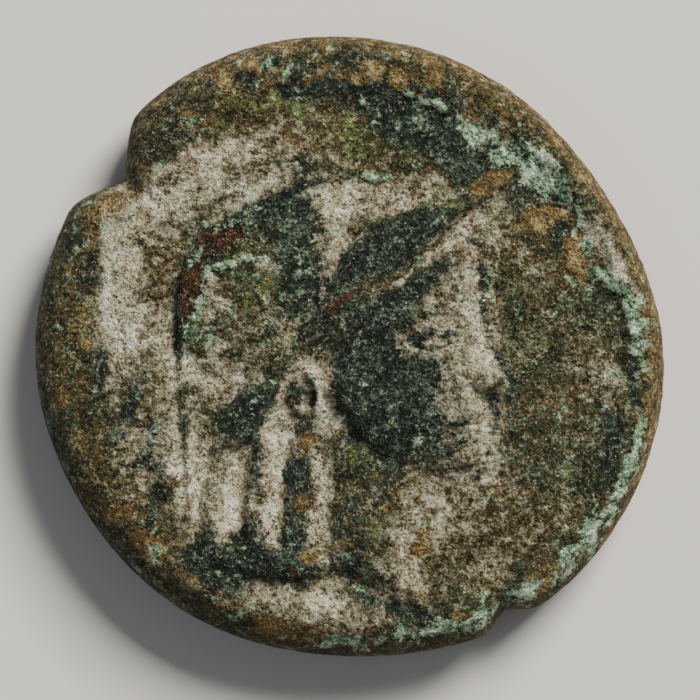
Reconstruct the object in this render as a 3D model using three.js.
// A worn ancient bronze coin, struck on a thick, lobed flan about 20 mm across and lying
// obverse up. The obverse carries a bust in a crested helmet facing right, inside the
// shallow bowl of the die; the reverse carries a worn star. One solid, +Z up, head towards
// +Y, standing on the plane z = 0 with the middle of its outline over the origin.
import * as THREE from "three";

// The flan, in millimetres.
const flanRadius = 9.955; // the outline's mean radius
const flanThickness = 3.05; // from the plane it lies on to the crest of the obverse rim
const edgeRound = 1.0; // how far in from the outline each face starts to round over
const edgeRoundSwing = 0.45; // added on the worn side, taken off on the side across from it
const wornTowards = 205; // degrees
const flanLobes = [
  // the outline swells by this much, this many times around, first towards this direction
  { swell: 0.073, times: 1, towards: -149 },
  { swell: 0.207, times: 2, towards: -42 },
  { swell: 0.118, times: 3, towards: -26 },
  { swell: 0.05, times: 6, towards: 1 },
];
const castingNotch = { towards: 143, halfWidth: 2.05, depth: 1.06 };
const edgeCrack = { towards: 300.5, halfWidth: 1.1, depth: 0.49 };
const notchShoulder = 0.35; // the share of the way in over which a notch's sides round over

// The obverse die's mark: a round field sunk below the rim, struck a little off centre.
const dieRadius = 8.6;
const dieOffsetX = 0.46;
const dieOffsetY = -0.19;
const dieWall = 0.8; // the width of the slope from the rim down to the field
const fieldSink = 0.3; // the field below the rim where the strike was deepest
const shallowSide = 0.45; // the share of that sink left on the far side of the tilted strike
const deepestTowards = 25; // degrees

// The bust. Its places and widths are hundredths of its height, right and up from the
// middle of the flan.
const bustHeight = 16.0; // from the crest's top to the cut of the bust
const reliefHeight = 0.66; // from the field to the cheek, the highest point
const faceShoulder = 6; // how far in from its outline the face takes to rise
const layerBlend = 0.08; // how softly one layer of the relief meets the next, in millimetres

// The face is the canon's three equal parts: hairline to brow, brow to nose, nose to chin.
const facePart = 15;
const hairline = { right: 24.6, up: 20.6 };

// The reverse: a rim, a sunk field and a star worn flat to the plane of the rim.
const reverseRadius = 8.3;
const reverseSink = 0.22;
const starRays = 8;
const starReach = 4.6; // from the centre to the tip of a ray
const starBoss = 1.3; // the flat round boss that the rays leave
const rayHalfWidth = 0.55; // at the boss
const starSlope = 0.4; // the width of the slope from the star down to the field

// The facets.
const longestEdge = 1.2;
const obverseFacets = { error: 0.022, kept: 0.46 }; // the most that a facet's edge may leave
const beltFacets = { error: 0.05, kept: 0.5 }; // the surface, and the length under which an
const reverseFacets = { error: 0.045, kept: 0.6 }; // edge is left whole

const degrees = Math.PI / 180;
const clamp01 = (t) => Math.min(1, Math.max(0, t));
const smooth = (t) => clamp01(t) ** 2 * (3 - 2 * clamp01(t));
const unit = bustHeight / 100;

// The higher of two heights, rounded where they meet above the field.
function softMax(a, b) {
  const near = Math.max(layerBlend - Math.abs(a - b), 0) / layerBlend;
  const lift = clamp01(Math.min(a, b) / layerBlend);
  return Math.max(a, b) + (lift * near * near * layerBlend) / 4;
}

// A worn shoulder: 0 at the outline, 1 once it is climbed, steepest at the foot.
function shoulderRise(inside, shoulder) {
  return 1 - (1 - clamp01(inside / shoulder)) ** 2;
}

// How deep a notch cuts into the outline in a direction: a V with rounded shoulders.
function notchDepth(notch, direction) {
  const turn = Math.atan2(
    Math.sin(direction - notch.towards * degrees),
    Math.cos(direction - notch.towards * degrees),
  );
  const inward = clamp01(1 - Math.abs(turn * flanRadius) / notch.halfWidth);
  const eased = Math.min(inward, notchShoulder);
  const deep = inward - eased + eased ** 2 / (2 * notchShoulder);
  return (notch.depth * deep) / (1 - notchShoulder / 2);
}

function outlineRadius(direction) {
  let radius = flanRadius;
  for (const lobe of flanLobes)
    radius += lobe.swell * Math.cos(lobe.times * (direction - lobe.towards * degrees));
  for (const notch of [castingNotch, edgeCrack]) radius -= notchDepth(notch, direction);
  return radius;
}

// A smooth path through stations [right, up, half-width], as short straight steps.
function smoothPath(stations, closed = false) {
  const steps = (stations.length - (closed ? 0 : 1)) * 5;
  const curve = new THREE.CatmullRomCurve3(
    stations.map(([right, up, width = 0]) => new THREE.Vector3(right, up, width)),
    closed,
    "centripetal",
  );
  const points = curve.getPoints(steps);
  return closed ? points.slice(0, -1) : points;
}

// The nearest place on a path: its distance, and the path's half-width there.
function nearest(path, closed, x, y) {
  let best = { distance: Infinity, width: 0 };
  const last = closed ? path.length : path.length - 1;
  for (let i = 0; i < last; i++) {
    const a = path[i];
    const b = path[(i + 1) % path.length];
    const dx = b.x - a.x;
    const dy = b.y - a.y;
    const t = clamp01(((x - a.x) * dx + (y - a.y) * dy) / (dx * dx + dy * dy));
    const distance = Math.hypot(x - a.x - t * dx, y - a.y - t * dy);
    if (distance < best.distance) best = { distance, width: a.z + t * (b.z - a.z) };
  }
  return best;
}

function isInside(path, x, y) {
  let inside = false;
  for (let i = 0, j = path.length - 1; i < path.length; j = i++) {
    const a = path[i];
    const b = path[j];
    if (a.y > y !== b.y > y && x < ((b.x - a.x) * (y - a.y)) / (b.y - a.y) + a.x)
      inside = !inside;
  }
  return inside;
}

// A raised band along a path, round in section, as high as given where it is widest.
function band(stations, height) {
  const path = smoothPath(stations);
  const widest = Math.max(...stations.map((station) => station[2]));
  return (x, y) => {
    const { distance, width } = nearest(path, false, x, y);
    if (distance >= width) return 0;
    return height * Math.sqrt(width / widest) * (1 - (distance / width) ** 2);
  };
}

// A raised plate with a closed outline and a rounded shoulder.
function plate(outline, height, shoulder) {
  const path = smoothPath(outline, true);
  return (x, y) =>
    isInside(path, x, y)
      ? height * shoulderRise(nearest(path, true, x, y).distance, shoulder)
      : 0;
}

// An oval dome, turned anticlockwise by so many degrees.
function dome({ right, up, long, short, turn = 0, height }) {
  const c = Math.cos(turn * degrees);
  const s = Math.sin(turn * degrees);
  return (x, y) => {
    const along = ((x - right) * c + (y - up) * s) / long;
    const across = ((y - up) * c - (x - right) * s) / short;
    return height * Math.max(0, 1 - (along * along + across * across) ** 2);
  };
}

// The face's outline: the profile in parts of the canon, then the jaw and the temple.
function faceOutline() {
  const profile = [
    [0, 0],
    [0.07, 0.5],
    [0.08, 1.0],
    [0.22, 1.45],
    [0.45, 1.84],
    [0.36, 1.98],
    [0.13, 2.06],
    [0.21, 2.26],
    [0.12, 2.34],
    [0.19, 2.43],
    [0.08, 2.56],
    [0.13, 2.76],
    [-0.02, 3.0],
  ];
  const jaw = [
    [12, -24.5],
    [3, -21],
    [-3, -14],
    [-6, -6],
    [-4, 2],
    [4, 13],
    [14, 20],
  ];
  return [
    ...profile.map(([out, down]) => [
      hairline.right + out * facePart,
      hairline.up - down * facePart,
    ]),
    ...jaw,
  ];
}

// Where the features of the face lie, by the same canon.
function facePlace(back, down) {
  return { right: hairline.right - back * facePart, up: hairline.up - down * facePart };
}

function faceFeatures() {
  const eye = facePlace(0.55, 1.28);
  const brow = facePlace(0.5, 0.98);
  const nostril = facePlace(-0.12, 1.86);
  return [
    dome({ ...eye, long: 3.4, short: 1.8, turn: 4, height: 0.11 }),
    band(
      [
        [eye.right + 3.6, eye.up + 0.6, 0.5],
        [eye.right, eye.up + 2.1, 0.8],
        [eye.right - 4.2, eye.up + 0.2, 0.5],
      ],
      0.08,
    ),
    band(
      [
        [brow.right + 6.5, brow.up - 0.2, 0.8],
        [brow.right, brow.up + 2.0, 1.5],
        [brow.right - 6.5, brow.up - 0.6, 0.8],
      ],
      0.1,
    ),
    dome({ ...nostril, long: 2.4, short: 1.8, turn: 20, height: 0.12 }),
    dome({ ...facePlace(0.02, 2.24), long: 3.0, short: 1.1, turn: 8, height: 0.1 }),
    dome({ ...facePlace(0.03, 2.45), long: 2.7, short: 1.2, turn: -6, height: 0.1 }),
    dome({ ...facePlace(0.1, 2.78), long: 3.2, short: 2.6, height: 0.08 }),
  ];
}

// The helmet: plume, crest holder, bowl, and the long band from the visor's tip to the
// neck guard.
function helmet() {
  const plume = band(
    [
      [15, 32.2, 1.0],
      [0, 35.3, 2.4],
      [-12, 37.3, 6.0],
      [-24, 35.5, 9.5],
      [-34.2, 28.8, 9.5],
      [-39.8, 17.5, 8.3],
      [-42, 4, 8.1],
      [-40.5, -8, 6.6],
      [-37, -19, 4.8],
      [-34.6, -29, 3.0],
      [-32, -38, 0.8],
    ],
    0.52 * reliefHeight,
  );
  const crestHolder = band(
    [
      [-5.7, 34, 1.1],
      [-13, 31.3, 1.4],
      [-21, 26.9, 2.0],
      [-28.6, 21, 2.7],
      [-32.4, 13.5, 2.4],
      [-33.6, 4, 1.5],
      [-33.2, -10, 1.1],
      [-31.6, -33, 0.7],
    ],
    0.95 * reliefHeight,
  );
  const bowl = dome({
    right: -18.6,
    up: 14.6,
    long: 22.5,
    short: 13.6,
    turn: 60,
    height: 0.86 * reliefHeight,
  });
  const visorAndNeckGuard = band(
    [
      [26.2, 30.4, 0.9],
      [19.2, 26.6, 3.2],
      [11.6, 22.6, 5.6],
      [3.5, 16.7, 5.5],
      [-1.3, 9.7, 4.4],
      [-5.7, 4, 3.8],
      [-11.6, -2.2, 3.8],
      [-17.6, -8.7, 4.6],
      [-21.6, -14.8, 4.8],
      [-26.4, -20.2, 1.8],
    ],
    0.98 * reliefHeight,
  );
  return [plume, crestHolder, bowl, visorAndNeckGuard];
}

// The hair: a roll swept back under the visor, and locks that hang behind the neck to the
// rolled ends on the shoulder.
const lockCount = 3;
const lockSpacing = 8;

function hair() {
  const roll = band(
    [
      [21, 18.6, 1.4],
      [14.5, 15.2, 3.0],
      [8, 10.8, 3.6],
      [2.2, 4.8, 3.3],
      [-2.2, -1.5, 2.7],
      [-4.4, -8, 1.8],
    ],
    0.92 * reliefHeight,
  );
  const locks = [];
  for (let i = 0; i < lockCount; i++) {
    const right = -10.2 - i * lockSpacing;
    const top = -16.5 - i * 2;
    locks.push(
      band(
        [
          [right + 0.8, top, 2.0],
          [right - 0.3, -28, 3.3],
          [right - 1.2, -38.5, 2.6],
        ],
        0.62 * reliefHeight,
      ),
    );
  }
  const rolledEnds = band(
    [
      [-31, -40.6, 1.4],
      [-24, -41.6, 3.7],
      [-16, -42.4, 4.3],
      [-9.5, -43, 3.6],
      [-4.6, -44, 1.5],
    ],
    0.66 * reliefHeight,
  );
  return [roll, ...locks, rolledEnds];
}

function neck() {
  return plate(
    [
      [-3.2, -14],
      [6, -20],
      [15.5, -24],
      [12.3, -31],
      [10.4, -39],
      [13.4, -47],
      [18.8, -53.4],
      [8.8, -50.4],
      [1.9, -46.8],
      [-3.4, -44.6],
      [-4.4, -34],
    ],
    0.6 * reliefHeight,
    6,
  );
}

function ear() {
  const rim = band(
    [
      [-6.6, -12.6, 0.9],
      [-6.9, -6.4, 1.2],
      [-9.6, -4.6, 1.2],
      [-11.8, -7.6, 1.2],
      [-10.2, -12.2, 1.1],
    ],
    0.8 * reliefHeight,
  );
  const pendant = dome({
    right: -8.9,
    up: -15.6,
    long: 1.9,
    short: 1.5,
    turn: 80,
    height: 0.72 * reliefHeight,
  });
  return [rim, pendant];
}

const layers = [...helmet(), ...hair(), neck(), ...ear()];
const face = plate(faceOutline(), 0.8 * reliefHeight, faceShoulder);
const cheek = dome({ right: 8, up: -6, long: 19, short: 13, turn: 40, height: 0.2 * reliefHeight });
const features = faceFeatures();

// The bust's height over the field at a place in millimetres.
function bust(x, y) {
  const right = x / unit;
  const up = y / unit;
  let height = face(right, up);
  if (height > 0) {
    const settled = height / (0.8 * reliefHeight);
    height += settled * cheek(right, up);
    for (const feature of features) height += settled * feature(right, up);
  }
  for (const layer of layers) height = softMax(height, layer(right, up));
  return height;
}

// How far the die's field lies below the rim at a place, so far inside the rounded edge.
function fieldDepth(x, y, inside) {
  const fromDie = Math.hypot(x - dieOffsetX, y - dieOffsetY);
  const tilt = 0.5 + 0.5 * Math.cos(Math.atan2(y, x) - deepestTowards * degrees);
  const lean = clamp01(Math.hypot(x, y) / dieRadius);
  const share = 1 - (1 - shallowSide) * (1 - tilt) * lean;
  return fieldSink * share * smooth(Math.min(dieRadius - fromDie, inside) / dieWall);
}

// The star's height over the reverse field: full on the boss and along each ray.
function star(x, y) {
  const reach = Math.hypot(x, y);
  const sector = (2 * Math.PI) / starRays;
  const direction = Math.atan2(y, x);
  const off = direction - sector * Math.round(direction / sector);
  const beyond = clamp01((reach - starBoss) / (starReach - starBoss));
  const halfWidth = rayHalfWidth * (1 - beyond);
  const ray = smooth((halfWidth - Math.abs(reach * Math.sin(off))) / starSlope + 1);
  const boss = smooth((starBoss - reach) / starSlope + 1);
  return Math.max(boss, beyond < 1 ? ray : 0);
}

function obverse(x, y, inside) {
  return flanThickness - fieldDepth(x, y, inside) + smooth(inside / dieWall) * bust(x, y);
}

function reverse(x, y, inside) {
  const sunk = smooth(Math.min(reverseRadius - Math.hypot(x, y), inside) / dieWall);
  return reverseSink * sunk * (1 - star(x, y));
}

// Wraps the unit sphere round the coin: its upper cap is the obverse, a belt round its
// middle the rounded edge, and its lower cap the reverse.
const beltHeight = 0.3; // of the belt, on the sphere

function surface(pole) {
  const direction = Math.atan2(pole.y, pole.x) + castingNotch.towards * degrees;
  const swing = Math.cos(direction - wornTowards * degrees);
  const round = edgeRound + edgeRoundSwing * swing;
  const flat = outlineRadius(direction) - round;
  const halfEdge = (round + flanThickness / 2) * 0.8;
  const walk = (Math.acos(Math.min(1, Math.max(-1, pole.z))) / Math.PI) * 2 - 1;
  const along = Math.abs(walk) * (flat + halfEdge);
  const side = walk < 0 ? 1 : -1;
  if (along < halfEdge) {
    const lean = (along / halfEdge) * (Math.PI / 2);
    const reach = flat + round * Math.cos(lean);
    const up = (side * Math.sin(lean) * flanThickness) / 2;
    return new THREE.Vector3(
      reach * Math.cos(direction),
      reach * Math.sin(direction),
      flanThickness / 2 + up,
    );
  }
  const reach = flat + halfEdge - along;
  const x = reach * Math.cos(direction);
  const y = reach * Math.sin(direction);
  const inside = flat - reach;
  return new THREE.Vector3(x, y, side > 0 ? obverse(x, y, inside) : reverse(x, y, inside));
}

// Splits the eight faces of an octahedron, always across the edge opposite the newest
// corner, until each edge follows the coin. Neighbours split together, so the mesh stays
// closed.
function facet() {
  const poles = [
    [1, 0, 0],
    [0, 1, 0],
    [-1, 0, 0],
    [0, -1, 0],
    [0, 0, 1],
    [0, 0, -1],
  ].map((p) => new THREE.Vector3(...p));
  const points = poles.map(surface);
  let faces = [];
  for (let i = 0; i < 4; i++) {
    const next = (i + 1) % 4;
    faces.push([i, next, 4], [next, i, 5]);
  }
  const middles = new Map();
  const key = (a, b) => (a < b ? a + "-" + b : b + "-" + a);

  function middle(a, b) {
    const name = key(a, b);
    if (!middles.has(name)) {
      const pole = poles[a].clone().add(poles[b]).normalize();
      poles.push(pole);
      points.push(surface(pole));
      middles.set(name, poles.length - 1);
    }
    return middles.get(name);
  }

  function isCoarse(a, b) {
    const length = points[a].distanceTo(points[b]);
    const high = (poles[a].z + poles[b].z) / 2;
    let wanted = high > 0 ? obverseFacets : reverseFacets;
    if (Math.abs(high) < beltHeight) wanted = beltFacets;
    if (length < wanted.kept) return false;
    if (length > longestEdge) return true;
    const probe = surface(poles[a].clone().add(poles[b]).normalize());
    const chord = points[a].clone().lerp(points[b], 0.5);
    return probe.distanceTo(chord) > wanted.error;
  }

  for (;;) {
    const split = new Set();
    for (const [a, b, c] of faces) {
      if (isCoarse(a, b) || isCoarse(b, c) || isCoarse(c, a)) split.add(key(a, b));
    }
    if (split.size === 0) break;
    for (let grew = true; grew; ) {
      grew = false;
      for (const [a, b, c] of faces) {
        const touched = split.has(key(b, c)) || split.has(key(c, a));
        if (touched && !split.has(key(a, b))) {
          split.add(key(a, b));
          grew = true;
        }
      }
    }
    const next = [];
    for (const [a, b, c] of faces) {
      if (!split.has(key(a, b))) {
        next.push([a, b, c]);
        continue;
      }
      const m = middle(a, b);
      for (const [p, q] of [
        [c, a],
        [b, c],
      ]) {
        if (split.has(key(p, q))) {
          const n = middle(p, q);
          next.push([m, p, n], [q, m, n]);
        } else next.push([p, q, m]);
      }
    }
    faces = next;
  }
  return { points, faces };
}

function coinGeometry() {
  const { points, faces } = facet();
  const geometry = new THREE.BufferGeometry();
  const positions = new Float32Array(points.flatMap((p) => [p.x, p.y, p.z]));
  geometry.setAttribute("position", new THREE.BufferAttribute(positions, 3));
  geometry.setIndex(faces.flat());
  geometry.computeBoundingBox();
  const centre = geometry.boundingBox.getCenter(new THREE.Vector3());
  geometry.translate(-centre.x, -centre.y, -geometry.boundingBox.min.z);
  geometry.computeVertexNormals();
  return geometry;
}

const patinatedBronze = new THREE.MeshStandardMaterial({
  color: 0x4a4a38,
  roughness: 0.82,
  metalness: 0.25,
});

const coin = new THREE.Mesh(coinGeometry(), patinatedBronze);
coin.name = "coin";

const group = new THREE.Group();
group.name = "ancient_bronze_coin";
group.add(coin);

export default group;
